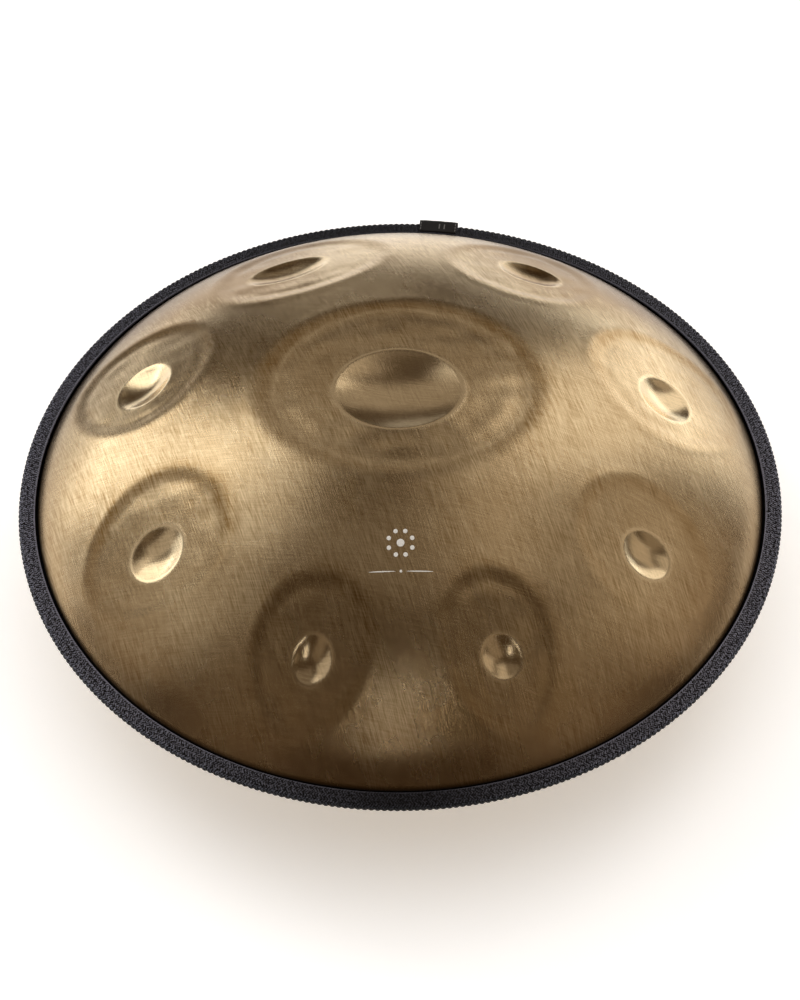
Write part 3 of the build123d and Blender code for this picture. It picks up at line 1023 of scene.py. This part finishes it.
class HANDPAN_OT_stage(bpy.types.Operator):
    """Floor, softboxes and camera"""

    bl_idname = "handpan.stage"
    bl_label = "Stage"

    def execute(self, context):
        sizes = context.scene.handpan_stage_sizes
        half = sizes.floor_size / 2
        mesh = bpy.data.meshes.new("floor")
        corners = [(-half, -half, 0), (half, -half, 0), (half, half, 0), (-half, half, 0)]
        mesh.from_pydata(corners, [], [(0, 1, 2, 3)])
        floor = bpy.data.objects.new("floor", mesh)
        context.scene.collection.objects.link(floor)
        white = linear("#F6F6F6")
        glow = sizes.floor_glow
        acrylic = speckled_material("opal_acrylic_backlit", white, 0.0, 0.9, 3.0, 0.02, glow)
        mesh.materials.append(acrylic)
        centre = Vector((0, 0, MID_HEIGHT))
        for row in SOFTBOXES:
            add_softbox(centre, sizes.softbox_distance, *row)
        wash = add_softbox(centre, WASH_DISTANCE, *FLOOR_WASH)
        wash.visible_glossy = False
        lit_by_wash = bpy.data.collections.new("lit_by_wash")
        lit_by_wash.objects.link(floor)
        lit_by_wash.objects.link(bpy.data.objects["printed_ornament"])
        wash.light_linking.receiver_collection = lit_by_wash
        world = bpy.data.worlds.new("studio")
        world.use_nodes = True
        world.node_tree.nodes["Background"].inputs["Color"].default_value = ROOM_LIGHT
        context.scene.world = world
        context.scene.view_settings.view_transform = "Standard"
        aim = centre - Vector((0, sizes.aim_forward, 0))
        back = Vector((0, -np.cos(sizes.elevation), np.sin(sizes.elevation)))
        side = Vector((1, 0, 0))
        up = back.cross(side)
        right = side * np.cos(sizes.roll) + up * np.sin(sizes.roll)
        top = up * np.cos(sizes.roll) - side * np.sin(sizes.roll)
        data = bpy.data.cameras.new("camera")
        data.lens = sizes.lens
        data.sensor_width = 36.0
        camera = bpy.data.objects.new("camera", data)
        turn = Matrix((right, top, back)).transposed().to_4x4()
        camera.matrix_world = Matrix.Translation(aim + back * sizes.distance) @ turn
        context.scene.collection.objects.link(camera)
        context.scene.camera = camera
        return {"FINISHED"}


def add_softbox(centre, distance, name, azimuth, elevation, wide, high, radiance, warmth):
    """Rectangular softbox that faces the centre from a direction and looks wide by high from there,
    all in degrees. Its power is its brightness times its area times pi. Warmth shifts its white
    towards red and away from blue."""
    lamp = bpy.data.lights.new(name, "AREA")
    lamp.shape = "RECTANGLE"
    lamp.size = 2 * distance * np.tan(np.radians(wide / 2))
    lamp.size_y = 2 * distance * np.tan(np.radians(high / 2))
    lamp.color = (1 + warmth, 1.0, 1 - warmth)
    lamp.energy = radiance * np.pi * lamp.size * lamp.size_y
    turn, lift = np.radians(azimuth), np.radians(elevation)
    away = Vector((np.cos(lift) * np.cos(turn), np.cos(lift) * np.sin(turn), np.sin(lift)))
    box = bpy.data.objects.new(name, lamp)
    box.location = centre + away * distance
    box.rotation_euler = away.to_track_quat("Z", "Y").to_euler()
    bpy.context.scene.collection.objects.link(box)
    return box


class HANDPAN_PT_panel(bpy.types.Panel):
    """Buttons and sizes in the 3D view's sidebar"""

    bl_label = "Handpan"
    bl_idname = "HANDPAN_PT_panel"
    bl_space_type = "VIEW_3D"
    bl_region_type = "UI"
    bl_category = "Handpan"

    def draw(self, context):
        for operator in OPERATORS:
            self.layout.operator(operator.bl_idname)
        for attribute, group in GROUPS.items():
            box = self.layout.box()
            for key in group.__annotations__:
                box.prop(getattr(context.scene, attribute), key)


GROUPS = {
    "handpan_shell_sizes": ShellSizes,
    "handpan_trim_sizes": TrimSizes,
    "handpan_colours": PieceColours,
    "handpan_stage_sizes": StageSizes,
}
OPERATORS = (
    HANDPAN_OT_upper_shell,
    HANDPAN_OT_lower_shell,
    HANDPAN_OT_flange_bond,
    HANDPAN_OT_rim_trim,
    HANDPAN_OT_trim_tab,
    HANDPAN_OT_ornament,
    HANDPAN_OT_stage,
)


def register():
    for cls in (*GROUPS.values(), *OPERATORS, HANDPAN_PT_panel):
        bpy.utils.register_class(cls)
    for attribute, group in GROUPS.items():
        setattr(bpy.types.Scene, attribute, PointerProperty(type=group))


def unregister():
    for attribute in GROUPS:
        delattr(bpy.types.Scene, attribute)
    for cls in (HANDPAN_PT_panel, *reversed(OPERATORS), *reversed(list(GROUPS.values()))):
        bpy.utils.unregister_class(cls)


def main():
    register()
    for operator in OPERATORS:
        getattr(bpy.ops.handpan, operator.bl_idname.split(".")[1])()


if __name__ == "__main__":
    main()
